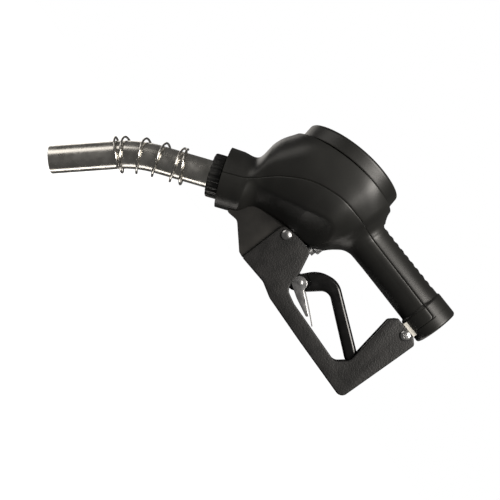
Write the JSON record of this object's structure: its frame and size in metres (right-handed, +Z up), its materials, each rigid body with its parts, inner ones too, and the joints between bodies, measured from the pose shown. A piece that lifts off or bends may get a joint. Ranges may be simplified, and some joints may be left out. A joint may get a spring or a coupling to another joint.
{
  "type": "fuel nozzle",
  "caption": "Automatic fuel dispensing nozzle with bent metal spout, hand lever in a guard, hold-open clip, crowned top cap and ribbed grip handle.",
  "frame": {"origin": "centre of the hose inlet's end face, on the handle's axis", "axes": "+X out of the inlet along the handle towards the hose, +Z up from the handle to the top cap's side, XZ the plane of symmetry"},
  "size_m": [0.3197, 0.0852, 0.2171],
  "materials": {
    "black_vinyl": "satin black moulded cover",
    "black_casting": "black painted aluminium casting",
    "black_nylon": "fine pebbled black",
    "bright_steel": "bright plated steel",
    "polished_tube": "turned and brushed bright tube",
    "bare_aluminium": "machined",
    "brass": "machined",
    "black_rubber": "moulded seal",
    "white_nylon": "moulded"
  },
  "bodies": {
    "nozzle": {"upper_cover": "black_vinyl", "lower_cover": "black_vinyl", "top_cap": "black_vinyl", "valve_body": "black_casting", "lever_guard": "black_nylon", "spout_nut": "black_nylon", "spout_spring": "bright_steel", "plate_screw_1": "bright_steel", "plate_screw_2": "bright_steel", "plate_screw_3": "bright_steel", "plate_screw_4": "bright_steel", "diaphragm_spring": "bright_steel", "main_spring": "bright_steel", "guard_screw_near": "bright_steel", "guard_screw_far": "bright_steel", "guard_rear_screw": "bright_steel", "guard_rear_nut": "bright_steel", "spout_tube": "polished_tube", "spout_adapter": "bare_aluminium", "air_tube": "bare_aluminium", "diaphragm_plate": "bare_aluminium", "packing_nut": "bare_aluminium", "check_seat": "brass", "main_valve_seat": "brass", "main_valve_cap": "brass", "spout_o_ring": "black_rubber", "diaphragm": "black_rubber", "rear_spacer": "white_nylon"},
    "plunger": {"shut_off_plunger": "bright_steel"},
    "lever": {"lever": "black_casting", "lever_pin": "bright_steel", "clip_rivet": "bright_steel"},
    "clip": {"hold_open_clip": "bright_steel", "clip_spring": "bright_steel"},
    "main_valve": {"main_stem": "bright_steel", "main_poppet": "brass", "main_poppet_seal": "black_rubber"},
    "check_valve": {"check_poppet": "brass", "check_spring": "bright_steel"}
  },
  "joints": [
    {"name": "shut_off_drop", "type": "slide", "parent": "nozzle", "child": "plunger", "axis": [-0.1977, 0, 0.9803], "range_m": [-0.005, 0], "stiffness_N_per_m": 400, "springref_m": 0.01},
    {"name": "lever_pivot", "type": "hinge", "parent": "plunger", "child": "lever", "pos_m": [-0.1285, 0, -0.075], "axis": [0, -1, 0], "range_deg": [0, 20], "stiffness_Nm_per_rad": 0.8, "springref_deg": -11.46},
    {"name": "clip_swing", "type": "hinge", "parent": "lever", "child": "clip", "pos_m": [-0.0988, 0, -0.0652], "axis": [0, 1, 0], "range_deg": [0, 12], "stiffness_Nm_per_rad": 0.02, "springref_deg": -17.19},
    {"name": "main_valve_lift", "type": "slide", "parent": "nozzle", "child": "main_valve", "axis": [0, 0, 1], "range_m": [0, 0.0083], "stiffness_N_per_m": 300, "springref_m": -0.01, "deforming": ["main_spring"]},
    {"name": "check_valve_open", "type": "slide", "parent": "nozzle", "child": "check_valve", "axis": [-0.8141, 0, -0.5807], "range_m": [0, 0.003], "stiffness_N_per_m": 200, "springref_m": -0.005}
  ],
  "couplings": [
    {"joint": "main_valve_lift", "follows": "lever_pivot", "m_per_rad": 0.0235}
  ]
}
